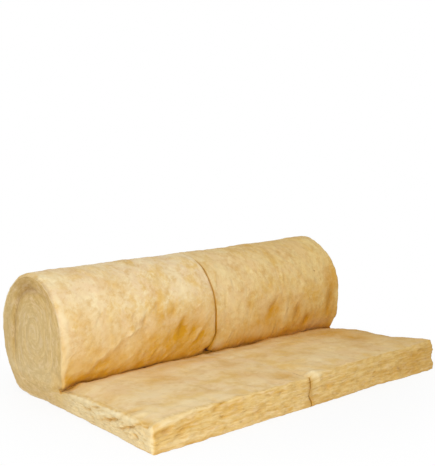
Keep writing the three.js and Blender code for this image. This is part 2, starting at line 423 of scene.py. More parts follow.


# ---- the wool's relief

# Dents, wrinkles, stains and torn pockets in the wool, in millimetres: their centre, half length, half
# width, tilt in degrees and height (below 0 is a dent), and how amber and dark they are. The amber is
# mostly resin stain; dark above 0 is mostly painted shade in dents and pockets and by the crease, and dark
# below 0 is paler: fluffed-up wool, and painted highlights on raised ridges and flakes.
FRONT_MARKS = (
    # on the roll, from its left end to its right end
    # painted shade low on the roll's left end, by the crease
    (-590, 47, 62, 14, 8, 20, 0, -0.4, 0.7),
    (-560, 44, 118, 22, 20, 0, 0, -0.15, -0.22),
    (-520, 44, 275, 35, 25, 0, 0, 0.3, 0),
    (-373, 100, 352, 45, 35, 0, 0, 0.3, 0),
    (-508, 59, 308, 22, 14, 0, 1.5, 0, -0.3),
    (-411, 43, 270, 22, 14, 0, 1.5, 0, -0.3),
    (-295, 40, 260, 18, 16, 0, 2.5, 0, -0.5),
    (-208, 86, 343, 25, 14, 0, 1.5, 0, -0.25),
    # raised folds with painted highlights on them
    (-462, 40, 146, 34, 6, 34, 4.5, 0, -0.2),
    (-405, 38, 178, 30, 6, 40, 4.5, 0, -0.1),
    (-340, 36, 207, 42, 5.5, 22, 5, 0, -0.2),
    (-455, 42, 124, 40, 11, 24, -3, 0.4, -0.05),
    (-365, 38, 160, 50, 15, 32, -3, 0.05, -0.12),
    (-295, 36, 234, 16, 5, 60, -4.5, 0.35, 0.2),
    (-237, 40, 275, 50, 12, 84, -2.5, 0.4, 0),
    (-232, 36, 240, 25, 20, 0, 0, 0.3, 0),
    (-180, 38, 254, 28, 9, 55, -2.5, 0.55, 0),
    (-260, 38, 155, 60, 24, 20, 0, 0.55, 0),
    (-190, 38, 158, 30, 16, 65, -3, 0.5, 0),
    (-147, 36, 182, 34, 12, 78, -5.5, 1.3, 0.15),
    (-104, 37, 163, 26, 4.5, 50, -4.5, 0.5, 0.15),
    (-85, 37, 152, 28, 5, 48, 4, 0, -0.1),
    (-72, 38, 145, 24, 6, 45, -3, 0.5, 0.1),
    (-85, 36, 210, 45, 22, 70, -1, 0.45, 0.05),
    (-60, 37, 150, 40, 22, 40, 0, 0.45, 0.05),
    # painted shade in the pocket at the slit's foot
    (-34, 54, 88, 9, 11, 0, -6, 0.6, 0.85),
    (16, 46, 105, 24, 24, 0, 0, -0.1, -0.38),
    (260, 37, 176, 40, 16, 30, -1.5, 0.6, 0),
    (275, 36, 206, 30, 9, 50, -4.5, 0.5, 0.1),
    (330, 37, 190, 60, 11, 82, 3.5, 0, -0.15),
    (387, 38, 162, 28, 10, 62, -6, 0.9, 0.3),
    (440, 44, 122, 28, 12, 60, -5.5, 0.7, 0.2),
    (496, 54, 298, 3.5, 3, 0, -3, 0.2, 0.8),
    (576, 44, 266, 40, 16, 84, -3, 0.75, -0.05),
    (560, 37, 183, 42, 13, 80, -4, 0.9, 0.25),
    (575, 46, 120, 30, 12, 85, -2, 0.3, 0),
    (597, 55, 86, 8, 10, 0, 0, -0.9, -0.1),
    (500, 46, 104, 90, 18, 0, 0, 0.12, -0.26),
    (200, 43, 120, 70, 22, 0, 0, 0.25, -0.24),
    (-112, 50, 280, 50, 35, 0, 0, 0, -0.36),
    # at the tongue's left corner
    (-598, -418, 50, 12, 5, 0, -3.5, 0.2, 0.18),
    (-598, -418, 30, 10, 6, 0, 3.5, 0, -0.1),
    (-566, -418, 58, 16, 4.5, 6, -6, 0.3, 0.4),
    # on the cut end, from the left corner to the right
    (-575, -425, 60, 30, 5, 12, -3, 0.4, 0.05),
    (-500, -425, 54, 40, 4.5, 10, -3, 0.6, 0.1),
    (-565, -425, 76, 30, 6, 8, 4, 0, -0.4),
    (-587, -418, 86, 22, 7, 0, 2.5, 0, -0.5),
    (-600, -418, 30, 7, 34, 0, 0, 0.1, 0.2),
    (-500, -425, 82, 65, 7, 4, 3, 0, -0.45),
    (-500, -425, 20, 80, 10, 0, 1, 0, -0.35),
    (-385, -420, 76, 14, 3.5, 12, -4.5, 0.3, 0.3),
    (-362, -420, 86, 10, 3, 0, -4, 0.3, 0.3),
    (-325, -420, 68, 40, 8, 6, -3, 0.5, 0.14),
    (-223, -418, 34, 24, 4, 8, -3.5, 0.5, 0.1),
    (80, -412, 45, 16, 6, 0, -3, 0.6, 0),
    (510, -405, 62, 35, 10, 0, -3, 0.6, 0.1),
    (470, -412, 30, 120, 11, 0, 0, 0.3, 0.12),
    (30, -410, 84, 24, 8, 5, 3, 0, -0.4),
)
TOP_MARKS = (
    # on the roll
    (-545, 160, 385, 45, 45, 0, 0, 0, -0.55),
    (313, 190, 396, 50, 50, 0, 0, 0.3, 0),
    # stains and fluffed-up patches on the tongue
    (-470, -30, 85, 130, 45, 0, 0, 0, -0.35),
    (-250, -70, 87, 90, 30, 0, 0, 0, -0.28),
    (60, -50, 87, 90, 35, 0, 0, 0, -0.3),
    (-160, -12, 84, 150, 16, 0, 0, 0.45, 0),
    (-95, -140, 89, 40, 24, 0, -1, 0.5, 0.08),
    (-560, -160, 88, 35, 28, 0, 0, 0.35, 0.05),
    (-365, -141, 89, 50, 20, 0, 0, 0.3, 0),
    (443, -68, 86, 60, 22, 0, 0, 0.35, 0),
    (580, -180, 88, 40, 120, 0, 0, 0.15, 0.12),
    (460, -20, 83, 120, 50, 0, 0, 0.6, 0.02),
    (-327, -73, 88, 34, 40, 0, -1.5, 0.5, 0),
    (465, -180, 86, 38, 45, 0, -3, 0.75, 0.12),
    (187, -197, 90, 18, 18, 0, -1.5, 0.4, 0),
    (-120, -262, 90, 45, 28, 0, -2, 0.45, 0),
    (-330, -370, 91, 80, 40, 0, 0, 0, -0.32),
    (-50, -347, 88, 35, 24, 20, -2, 0.75, 0.05),
    (-480, -230, 85, 60, 50, 0, 0, 0, -0.4),
    (-470, -362, 92, 100, 30, 0, 0, 0, -0.42),
    (120, -310, 92, 80, 90, 20, 1.5, 0, -0.26),
    (20, -185, 89, 50, 40, 0, 0, 0, -0.12),
    (270, -220, 90, 50, 40, 0, 0, 0, -0.2),
    # along the tongue's left edge
    (-575, -300, 80, 30, 8, -50, -4, 0.2, 0.25),
    (-555, -330, 90, 30, 35, 0, 0, 0, -0.35),
    (-578, -340, 82, 22, 9, -40, 5, 0, -0.2),
    # at the slit in the cut end
    (28, -395, 90, 30, 15, 0, 4, -0.3, -0.55),
)
LEFT_MARKS = (
    # pockets and flakes along the tongue's left edge: painted shade in the pockets, painted highlights on
    # the flakes
    (-600, -215, 40, 50, 3.6, -14, -10, 0.4, 0.58),
    (-600, -307, 43, 40, 3.1, -19, -10, 0.3, 0.58),
    (-600, -350, 30, 18, 4, -6, -11, 0.4, 0.6),
    (-600, -140, 58, 30, 3, -16, -7, 0.3, 0.38),
    (-600, -90, 40, 25, 3, -10, -6, 0.3, 0.25),
    (-600, -352, 58, 35, 11, -14, -2, 0.2, 0.3),
    # painted shade on the roll's left end, by the crease
    (-600, 70, 83, 30, 18, 0, 0, 0.1, 0.28),
    (-600, -250, 66, 40, 5, -14, 5, 0, -0.3),
    (-600, -165, 46, 30, 5, -14, 4, 0, -0.5),
    (-600, -400, 70, 14, 5, -10, -7, 0.3, 0.65),
    (-600, -368, 67, 16, 4.5, -14, -6, 0.3, 0.6),
)
# The axes that a face's length and width run along and the axis across it, and its marks
MARKED_FACES = (((0, 2, 1), FRONT_MARKS), ((0, 1, 2), TOP_MARKS), ((1, 2, 0), LEFT_MARKS))
MARK_REACH = 45  # how far above or below its face a mark still counts, in millimetres
MARK_WANDER = 6  # how far a mark's outline wanders, in millimetres

# How much the tongue has swelled up at its cut end, across the roll
SWELL_X = (-0.6, -0.575, -0.55, -0.5, -0.25, 0, 0.02, 0.05, 0.3, 0.6)
SWELL = (0.82, 0.89, 0.94, 0.975, 0.955, 0.9, 0.95, 1.005, 1.02, 1.03)
# How much lower its long edges lie, from the crease to the cut end: left edge, right edge
EDGE_ALONG = (0, 0.27, 0.5, 0.62, 0.78, 0.9, 1)
LEFT_EDGE = (0.24, 0.21, 0.17, 0.13, 0.08, 0.03, 0)
RIGHT_EDGE = (0.2, 0.1, 0.17, 0.17, 0.06, 0, -0.02)
# How far its left edge lies in from the line along the floor, from the cut end to the back of the roll
UNDER_Y = (-0.28, -0.22, -0.18, -0.13, -0.05, 0, 0.06, 0.1)
UNDER = (0, -0.003, -0.004, 0.003, 0.01, 0.008, 0.002, -0.003)
# How far its foot has spread at the cut end, across the roll
FOOT_X = (-0.6, -0.55, -0.48, -0.3, -0.1, 0, 0.15, 0.3, 0.42, 0.6)
FOOT = (0, 0.003, 0.004, 0.006, 0.01, 0.013, 0.012, 0.006, 0.017, 0.02)
# How far the roll's right end has slid outwards, by height
SLID_HEIGHT = (0.065, 0.09, 0.12, 0.145, 0.19, 0.24, 0.29, 0.33, 0.365, 0.4)
RIGHT_SLID = (0.006, 0.006, 0.008, 0.008, 0.012, 0.012, 0.01, 0.0085, 0.005, 0.008)

# How far the roll has sagged out of round at its back and heel, and how much higher its ends stand
BACK_FLAT, HEEL_BULGE, LEFT_LIFT, RIGHT_LIFT = 0.0045, 0.005, 0.0015, 0.003
# How far out of square the two strips' cut ends and the roll's back lie
LEFT_SKEW, RIGHT_SKEW, BACK_SKEW = 0.019, 0.01275, 0.005
# How far the slit strays at its foot and at the cut end
FOOT_STRAY, CUT_STRAY = 0.03, 0.006


def mark_fields(points):
    """Height, amber and dark amounts of the marks at each point; their outlines wander."""
    height, amber, dark = (np.zeros(len(points)) for _ in range(3))
    wander = coords(*(noise_at(points, 0.03, seed) for seed in (91.2, 47.3, 12.9)))
    points = points * 1000 + MARK_WANDER * wander
    for axes, marks in MARKED_FACES:
        for *centre, half_length, half_width, tilt, rise, amber_amount, dark_amount in marks:
            a, b, deep = (points[:, axis] - centre[axis] for axis in axes)
            cosine, sine = math.cos(math.radians(tilt)), math.sin(math.radians(tilt))
            along, over = a * cosine + b * sine, b * cosine - a * sine
            reached = bell(deep, MARK_REACH)
            fall = bell(along, half_length) * bell(over, half_width) * reached
            wide = bell(along, half_length * 1.3) * bell(over, half_width * 1.8) * reached
            height += rise / 1000 * fall
            amber += amber_amount * wide
            dark += dark_amount * fall
    return height, amber, dark


def slit_bend(y, z, s):
    """How far the slit strays sideways: to the left low on the roll's front and at the cut end."""
    front = smooth(y, -0.055, -0.125) * smooth(y, -0.235, -0.195)
    above = smooth(z - thickness(-y, s), -0.002, 0.01)
    at_cut_end = smooth(y, 0.06 - s.tongue, 0.01 - s.tongue)
    on_cut_end = (0.004 + CUT_STRAY * smooth(z, 0.09, 0)) * at_cut_end
    return -FOOT_STRAY * smooth(z, 0.15, 0.08) * front * above - on_cut_end


def settle(p, s, crease_y):
    """The roll as it lies: pressed out of round, its edges worn low, its cut a little out of square."""
    p = p.copy()
    x, y, z = p[:, 0], p[:, 1], p[:, 2]
    tongue = np.clip((crease_y - y) / (s.tongue + crease_y), 0, 1)
    behind = smooth(y, crease_y - 0.02, crease_y + 0.05)
    roll = np.maximum(behind, smooth(z, 0.085, 0.12))
    swell = np.interp(x, SWELL_X, SWELL) - 1
    left, right = smooth(x, -0.53, -HALF_WIDTH), smooth(x, 0.51, HALF_WIDTH)
    on_mat = smooth(y, crease_y + 0.04, crease_y - 0.005) * smooth(z, s.roll_radius / 2, 0.09)
    worn = sum(edge * np.interp(tongue, EDGE_ALONG, lower) for edge, lower in (
        (left, LEFT_EDGE), (right, RIGHT_EDGE)))
    new_z = z * (1 + swell * tongue ** 2 - worn * on_mat)
    # the back is a little flat above its middle, and the two ends stand a little higher
    turned = np.degrees(np.arctan2(y, s.roll_radius - z))
    out = np.hypot(y, s.roll_radius - z) / s.roll_radius
    flat = BACK_FLAT * bell(turned - 138, 26) * out
    lifted = RIGHT_LIFT * smooth(x, 0.38, 0.58) + LEFT_LIFT * smooth(x, 0.1, -0.2)
    new_z = new_z - flat * 0.7 + lifted * roll * (z / ROLL_HEIGHT) ** 2
    # the cut end and the roll's back lie a little out of square, and the heel bulges on the left
    bulge = np.sin(math.pi * np.clip(z / ROLL_HEIGHT, 0, 1))
    skew = np.where(x < 0, LEFT_SKEW, RIGHT_SKEW) * tongue - BACK_SKEW * behind * bulge
    heel = HEEL_BULGE * bell(turned - 70, 22) * out * smooth(x, 0, -0.4)
    new_y = y - flat * 0.7 + heel + skew * x / HALF_WIDTH
    # the tongue's foot spreads at its cut end
    new_y = new_y - np.interp(x, FOOT_X, FOOT) * smooth(z, 0.04, 0) * smooth(tongue, 0.8, 1)
    # the long edges run a little out of line, and the outer turn has slid out at the right end
    floor_edge = smooth(z, 0.05, 0)
    splay = left * (0.01 - 0.02 * tongue) * smooth(z, 0.25, 0.08) * (1 - roll)
    splay += left * floor_edge * np.interp(y, UNDER_Y, UNDER)
    slid = np.interp(z, SLID_HEIGHT, RIGHT_SLID) * roll + (0.02 - 0.021 * floor_edge) * tongue
    slid -= 0.014 * bell(y - crease_y, 0.025) * bell(z - s.full + 0.004, 0.015)
    slid *= smooth(x, 0.25, HALF_WIDTH)
    p[:, 0] = x + splay + slid + slit_bend(y, z, s) * bell(x, 0.1)
    p[:, 1], p[:, 2] = new_y, new_z
    return p


# ---- finishing a strip

# How many torn layers, finer layers and rows of pits the mat's thickness shows
TORN_LAYERS, FINE_LAYERS, PIT_LAYERS = 8, 20, 14
# Heights of the flakes on the cut end, on the tongue's side and in its frayed edges, and the pits' depth
END_FLAKE, SIDE_FLAKE, FRAY, PIT = 0.0006, 0.0024, 0.003, 0.0025
# How far the strip's outline is ragged all over, and how much more so at the cut end
RAGGED, RAGGED_CUT = 0.0012, 0.0018
# How far the crease wanders up and down, and how far it drops near its left end
CREASE_WANDER, CREASE_DROP = 0.0035, 0.0055
RIGHT_PROUD = 0.0025  # how far the right strip stands out along the slit
# Half the slit's width, how much wider it gapes at the cut end and how far it snakes there
SLIT_GAP, SLIT_GAPE, SLIT_SNAKE = 0.0001, 0.0015, 0.004


def values_of(items, label, width=1):
    """A value of each item, or a row of width values, as an array."""
    values = np.empty(len(items) * width)
    items.foreach_get(label, values)
    return values.reshape(-1, width) if width > 1 else values


def survey(mesh, side, mat, s, shift):
    """Settles the strip, and tells where each vertex lies and how much it belongs to each face."""
    wool = SimpleNamespace(side=side, shift=shift, rest=values_of(mesh.vertices, "co", 3))
    wool.p = settle(wool.rest, s, mat.crease_y)
    wool.p[:, 1] += shift
    mesh.vertices.foreach_set("co", wool.p.ravel())
    mesh.update()
    wool.normal = values_of(mesh.vertices, "normal", 3)
    wool.cut, wool.through = (
        values_of(mesh.attributes[label].data, "value") for label in ("cut", "through"))
    wool.x, wool.y, wool.z = x, y, z = wool.rest[:, 0], wool.p[:, 1], wool.p[:, 2]
    wool.off_slit = off_slit = np.abs(x)
    wool.height, wool.amber, wool.dark = mark_fields(wool.p)
    crease_y, wool.crease_z = winding(crease_angle(s), s) + (shift, 0)
    wool.to_crease = np.hypot(y - crease_y, z - wool.crease_z)
    above = smooth(z - thickness(shift - y, s), 0, 0.012) * smooth(y, -0.03, 0.02)
    wool.on_tongue = smooth(y, 0.1, -0.02) * (1 - above)
    wool.on_roll = 1 - wool.on_tongue
    wool.cut_end = smooth(y, -0.385, -0.412)
    sideways = np.abs(wool.normal[:, 0])
    facing = sideways * (off_slit < 0.012)
    wool.slit_face, wool.lip = smooth(facing, 0.55, 0.8), smooth(facing, 0.25, 0.6)
    # the upper face is torn too, in an uneven band along its left edge and its cut end
    tear_line = 0.5 + 0.5 * noise_at(wool.p, (0.045, 0.045, 0.1), 61)
    band = smooth(off_slit, 0.588 - 0.034 * tear_line, 0.6 - 0.016 * tear_line) * (side < 0)
    band += smooth(y, -0.412 + 0.016 * tear_line, -0.42 + 0.01 * tear_line)
    band = np.clip(band, 0, 1) * wool.on_tongue * smooth(z, 0.02, 0.05)
    wool.on_face = wool.cut < 0.25
    wool.frayed = wool.on_face * band
    wool.cut = np.maximum(wool.cut, 0.9 * band)
    wool.skin = 1 - np.clip(wool.cut * 2, 0, 1)
    facing_side = sideways * (off_slit > 0.55)
    wool.on_side = smooth(facing_side, 0.45, 0.75) * wool.on_tongue * (wool.cut > 0.25)
    return wool


def roughen(wool, s):
    """The points with their relief: the face swells and crumples, and the cut faces are torn in layers."""
    p, x, y, z, through = wool.p, wool.x, wool.y, wool.z, wool.through
    left = wool.side < 0
    broad = s.lumps * (noise_at(p, (0.13, 0.16, 0.13)) + 0.4 * noise_at(p, (0.05, 0.07, 0.05), 7.3))
    lean = 0.6 if left else 0.25
    upright = (1 - lean ** 2) ** 0.5
    slanted = coords(x * upright + z * lean, y, z * upright - x * lean)
    along = (0.09, 0.05, 0.035) if left else (0.03, 0.05, 0.1)
    crumple = 0.6 * (0.5 - np.abs(noise_at(slanted, along, 3.1)))
    crumple += 0.55 * (0.4 - np.abs(noise_at(slanted, (0.028, 0.028, 0.018), 4.4)))
    crumple *= s.lumps * (1 - 0.7 * wool.on_tongue)
    # each layer of the mat ends a little further out or in than the next
    level = through * TORN_LAYERS + 0.8 * noise_at(p, (0.09, 0.08, 0.2), 23)
    rank = np.floor(level)
    this, further = (noise_at(coords(x / 0.042, y / 0.036, 7.7 * (rank + k)), 1, 11) for k in (0, 1))
    step = smooth(level - rank, 0.7, 1)
    layers = this * (1 - step) + further * step + 0.25 * np.sin(math.pi * (level - rank))
    fine_layers = noise_at(coords(x / 0.022, y / 0.022, through * FINE_LAYERS), 1, 17)
    flaky = noise_at(p, (0.011, 0.014, 0.006), 13)
    pits = smooth(noise_at(coords(x / 0.03, y / 0.022, through * PIT_LAYERS), 1, 5.7), 0.42, 0.66)
    between = np.clip(6 * through * (1 - through), 0, 1)
    torn = s.tear * (layers * (0.5 + 0.7 * wool.on_side) + 0.35 * fine_layers)
    torn += (END_FLAKE + SIDE_FLAKE * wool.on_side) * flaky - PIT * pits
    frayed = wool.frayed * (FRAY * flaky + 0.4 * s.tear * fine_layers)
    # the two strips' faces rise and fall as one, so that no step shows along the slit
    joined = (wool.off_slit < 0.005) & np.isin(through, (0, 1))
    push = wool.normal * np.where(joined[:, None], (0, 1, 1), 1)
    push /= np.maximum(np.linalg.norm(push, axis=1), 0.1)[:, None]
    faced = np.where(joined, 1, wool.skin)
    rise = faced * (broad + crumple) + (1 - faced) * (torn * between * wool.on_tongue + 0.3 * broad) + frayed
    rise = (rise + wool.height) * np.where(joined, 1, 1 - wool.slit_face)
    # painted shade in the hollows and pits between the layers
    hollow = smooth(flaky + 0.5 * layers, -0.15, -0.55)
    pit_shade = 0.22 * pits * between + (0.1 + 0.18 * wool.on_side) * hollow
    wool.dark += (1 - wool.skin) * wool.on_tongue * pit_shade + 0.12 * wool.frayed * hollow
    # the whole strip is a little ragged, most of all at the cut end
    ragged = coords(*(noise_at(p, size, seed) for size, seed in ((0.03, 21), (0.025, 31), (0.025, 41))))
    ragged *= (RAGGED + RAGGED_CUT * smooth(y, -0.3, -0.41))[:, None]
    ragged[:, 0] *= 1 - wool.slit_face
    p = p + push * rise[:, None] + ragged
    # the crease wanders up and down a little, and is lowest near its left end
    wander = CREASE_WANDER * noise_at(p, (0.038, 0.2, 0.2), 81) - CREASE_DROP * bell(x + 0.44, 0.1)
    p[:, 2] += wander * wool.skin * bell(wool.to_crease, 0.03)
    # the right strip stands a little proud of the left one along the slit
    on_front = smooth(z, 0.1, 0.2) * smooth(y, 0.2, 0.1) * smooth(wool.off_slit, 0.05, 0)
    p[:, 1] -= wool.side * RIGHT_PROUD * on_front
    p[:, 2] = np.maximum(p[:, 2], 0)
    return p


def part_slit(wool):
    """The points' x, where the slit stays closed, and opens a little with ragged lips at the cut end."""
    across = wool.p[:, 0]
    snake = noise_at(coords(0.3, 0.7, wool.z / 0.02))
    gape = noise_at(coords(0.9, 0.2, wool.z / 0.012))
    middle = SLIT_SNAKE * wool.cut_end * snake
    limit = wool.bend + middle + wool.side * (SLIT_GAP + SLIT_GAPE * wool.cut_end * (1 + 0.8 * gape))
    inside = (np.minimum if wool.side < 0 else np.maximum)(across, limit)
    shaken = inside + middle * bell(wool.x, 0.02) * (inside != limit)
    return np.where(wool.off_slit < 0.03, shaken, across)


def paint_light_and_shade(wool, s):
    """Adds painted shade and painted highlights to how amber and dark the wool is: shade in the slit, the
    crack and the crease, highlights at the left rim and on the tongue's side, and the ends' painted shade.
    """
    p, x, y, z, off_slit = wool.p, wool.x, wool.y, wool.z, wool.off_slit
    side, skin, on_roll = wool.side, wool.skin, wool.on_roll
    # painted shade in the slit and in the crack at the cut end: brown, deeper the lower it is, with a thin
    # dark line along the slit and a shade on its left
    from_slit = p[:, 0] - wool.bend
    low, lowest = smooth(z, 0.32, 0.1) * on_roll, smooth(z, 0.19, 0.12) * on_roll
    by_slit = skin * bell(from_slit, 0.007 + 0.002 * lowest)
    by_crack = wool.cut_end * smooth(wool.cut, 0.3, 0.6) * bell(from_slit - 0.002, 0.0085)
    shown = on_roll * (0.1 + 0.9 * smooth(y, 0.17, 0.12))
    wool.dark += wool.slit_face * (0.04 * on_roll + 0.08 * low + 0.12 * wool.cut_end)
    wool.dark += wool.lip * (0.12 + 0.02 * low) * shown + 0.34 * by_crack * smooth(z, -0.01, 0.03)
    wool.dark += skin * 0.12 * shown * bell(from_slit, 0.0035) + 0.26 * by_slit * lowest
    wool.dark += skin * 0.04 * low * bell(from_slit + 0.01, 0.012)
    wool.amber += wool.slit_face * (0.4 * low + 0.7 * wool.cut_end) + 0.7 * wool.lip * shown
    wool.amber += by_slit * shown * (0.15 + 0.7 * lowest) + 0.5 * by_crack
    # painted shade in the crease: dark in it, and amber about it for its shade and the warm light bounced
    # into it
    by_crease = skin * smooth(HALF_WIDTH - off_slit, 0, 0.014)
    uneven = 1 + 0.7 * noise_at(p, (0.035, 0.1, 0.1), 71)
    to_right = smooth(x, 0.2, 0.42)
    depth = 0.32 + 0.56 * bell(x + 0.32, 0.12) if side < 0 else 0.24 - 0.38 * to_right
    reach = 0.006 + 0.003 * smooth(z - wool.crease_z, 0.001, 0.005)
    wool.dark += depth * by_crease * uneven * bell(wool.to_crease, reach)
    short = smooth(HALF_WIDTH - off_slit, 0.006, 0.03)
    wool.amber += 0.2 * (1 + to_right) * by_crease * short * bell(wool.to_crease, 0.02)
    # the left end's rim is fluffed up and carries a painted highlight where its rounding catches the light,
    # the tongue's left side face is painted paler as a painted highlight, and its torn edges are fluffed up
    # and a little pale
    band_edge = 0.578 + 0.012 * smooth(z, 0.16, 0.09) - 0.004 * noise_at(p, 0.04, 51)
    on_rim = on_roll * smooth(z, 0.06, 0.08) * (side < 0)
    rim_highlight = (1 - 0.6 * wool.cut) * smooth(off_slit - band_edge, -0.006, 0.006) * on_rim
    wool.dark -= 0.42 * rim_highlight * (1 - 0.9 * smooth(z, 0.32, 0.37))
    wool.dark -= 0.62 * wool.on_side + 0.1 * wool.frayed
    # painted shade where that rim turns in towards the end, and the ends' painted shade
    shade_inside_rim = smooth(off_slit, 0.584, 0.598) * smooth(y, 0.25, 0.15) * smooth(z, 0.14, 0.22)
    wool.dark += 0.45 * shade_inside_rim * on_rim * wool.on_face + painted_shade_of_ends(wool, s)


def painted_shade_of_ends(wool, s):
    """Painted shade on the roll's ends: dark in the seam behind the outermost turn and just inside the front
    rim, darker towards the top, paler low and at the core.
    """
    y, z = wool.p[:, 1] - wool.shift, wool.p[:, 2]
    at_end = smooth(wool.cut, 0.5, 1) * wool.on_roll
    turned = np.mod(np.arctan2(y, s.roll_radius - z), TURN)
    out = np.hypot(y, z - s.roll_radius)
    rim, seam = (np.hypot(at[:, 0], at[:, 1] - s.roll_radius)
                 for at in (winding(turned, s), winding(turned + TURN, s)))
    degrees = np.degrees(turned)
    behind = smooth(degrees, 45, 75) * smooth(degrees, 215, 165)
    broken = 0.5 + 0.9 * noise_at(wool.p, (0.03, 0.012, 0.022), 33)
    dark = behind * (0.24 * broken * bell(out - seam, 0.009) + 0.26 * bell(out - seam, 0.021))
    front = smooth(degrees, 190, 220) * smooth(z, 0.085, 0.11)
    dark += 0.17 * smooth(z, 0.26, 0.37) - 0.18 * smooth(z, 0.15, 0.07)
    dark += 0.1 * front * bell(rim - out - 0.018, 0.02) - 0.08 * bell(out, 0.085)
    return at_end * dark


def finish_strip(name, side, bm, mat, s, shift):
    """Settles and roughens the strip's mesh, and stores its marks for the material."""
    mesh = bpy.data.meshes.new(name)
    bm.to_mesh(mesh)
    bm.free()
    wool = survey(mesh, side, mat, s, shift)
    wool.p = roughen(wool, s)
    wool.bend = slit_bend(wool.rest[:, 1], wool.rest[:, 2], s)
    wool.p[:, 0] = part_slit(wool)
    mesh.vertices.foreach_set("co", wool.p.ravel())
    paint_light_and_shade(wool, s)
    # amber and dark hold resin stains and darker tones, and also painted shade, and below 0 in dark painted
    # highlights
    for label, values in (
            ("cut", wool.cut), ("amber", wool.amber), ("dark", wool.dark), ("torn", wool.on_tongue)):
        layer = mesh.attributes.get(label) or mesh.attributes.new(label, "FLOAT", "POINT")
        layer.data.foreach_set("value", values.astype(np.float32))
    mesh.polygons.foreach_set("use_smooth", [True] * len(mesh.polygons))
    mesh.update()
    piece = bpy.data.objects.new(name + "_wool", mesh)
    bpy.context.scene.collection.objects.link(piece)
    return piece


# ---- materials


def add(tree, kind, inputs=None, **settings):
    """Adds a shader node with its settings, and sets its inputs or links them to a socket or a node."""
    node = tree.nodes.new("ShaderNode" + kind)
    for key, value in settings.items():
        setattr(node, key, value)
    for key, value in (inputs or {}).items():
        if isinstance(value, bpy.types.Node):
            value = value.outputs[0]
        if isinstance(value, bpy.types.NodeSocket):
            tree.links.new(value, node.inputs[key])
        else:
            node.inputs[key].default_value = value
    return node


def bare_tree(owner):
    """The emptied node tree of a material or a world."""
    owner.use_nodes = True
    owner.node_tree.nodes.clear()
    return owner.node_tree


def seen_directly(tree):
    """1 for a ray from the camera, a gloss or a clear surface, and 0 for the rays that light the wool."""
    ray = add(tree, "LightPath").outputs
    seen = ray["Is Camera Ray"]
    for other in ("Is Glossy Ray", "Is Transmission Ray"):
        seen = add(tree, "Math", {0: seen, 1: ray[other]}, operation="MAXIMUM")
    return seen


# Clouds of colour, painted one over the other: colour, how strong, where the noise starts and ends to
# show, size in millimetres, axes and seed. A size is one number for every way, or across, along and up,
# or on the chart along and through the mat, with 1000 for the way that a chart lacks.
SKIN_CLOUDS = (
    ("straw", 0.8, 0.42, 0.66, (120, 190, 110), "where", 1.3),
    ("blush", 0.8, 0.46, 0.62, (65, 140, 75), "where", 8.1),
    ("tan", 0.5, 0.5, 0.72, (55, 130, 60), "where", 4.4),
    ("pale", 0.7, 0.5, 0.7, (50, 90, 36), "slanted", 2.6),
    ("tan", 0.4, 0.52, 0.74, (45, 75, 20), "slanted", 5.5),
    ("tan", 0.34, 0.5, 0.68, (26, 30, 26), "where", 6.2),
    ("pale", 0.34, 0.5, 0.68, (18, 22, 18), "where", 9.9),
)
FLAT_CLOUDS = (
    ("straw", 0.8, 0.42, 0.66, 130, "where", 1.3),
    ("blush", 0.8, 0.46, 0.62, 90, "where", 8.1),
    ("tan", 0.48, 0.5, 0.72, 85, "where", 4.4),
    ("pale", 0.45, 0.5, 0.7, 50, "where", 2.6),
    ("tan", 0.3, 0.5, 0.68, 28, "where", 6.2),
)
CUT_CLOUDS = (
    ("cut_dark", 0.55, 0.42, 0.64, (90, 11, 1000), "chart", 3.7),
    ("cut_pale", 0.6, 0.44, 0.66, (70, 9, 1000), "chart", 6.9),
    ("resin", 0.45, 0.54, 0.72, (60, 8, 1000), "chart", 5.3),
    ("blush", 0.5, 0.5, 0.68, (40, 9, 1000), "chart", 2.9),
    ("cut_dark", 0.38, 0.46, 0.66, (24, 5.5, 1000), "chart", 1.9),
    ("cut_pale", 0.38, 0.52, 0.7, (22, 8, 1000), "chart", 7.7),
)
END_CLOUDS = (
    ("olive", 0.45, 0.42, 0.62, (70, 36, 1000), "chart", 2.2),
    ("blush", 0.5, 0.46, 0.66, (50, 40, 1000), "chart", 4.9),
    ("olive", 0.5, 0.47, 0.63, (20, 20, 1000), "chart", 8.3),
    ("cut_pale", 0.4, 0.5, 0.66, (14, 12, 1000), "chart", 6.6),
    ("cut_dark", 0.38, 0.53, 0.68, (12, 12, 10), "where", 3.3),
)
STREAK_TILT = {"left": -35, "right": -72}  # how the face's streaks lean on each strip, in degrees
WRINKLE_DEPTH = 0.0035
FIBRE_CLUMP, FIBRE_DEPTH = 0.007, 0.002  # across the matted fibre's clumps, and their height


def clouded(tree, c, axes, base, roughness, clouds):
    """A base colour with clouds of other colours painted over it."""
    tone = (*base, 1)
    for name, strength, low, high, size, vector, seed in clouds:
        cloud = add(tree, "Mapping", {
            "Vector": axes[vector], "Location": (seed, 0.7 * seed, -seed),
            "Scale": np.broadcast_to(size, 3) / 1000},
            vector_type="TEXTURE")
        texture = add(tree, "TexNoise", {
            "Vector": cloud, "Scale": 1, "Detail": 4, "Roughness": roughness, "Distortion": 0.3})
        amount = add(tree, "MapRange", {
            "Value": texture, "From Min": low, "From Max": high, "To Max": strength},
            interpolation_type="SMOOTHSTEP")
        tone = add(tree, "Mix", {
            0: amount, 6: tone, 7: (*getattr(c, name), 1)}, data_type="RGBA").outputs[2]
    return tone


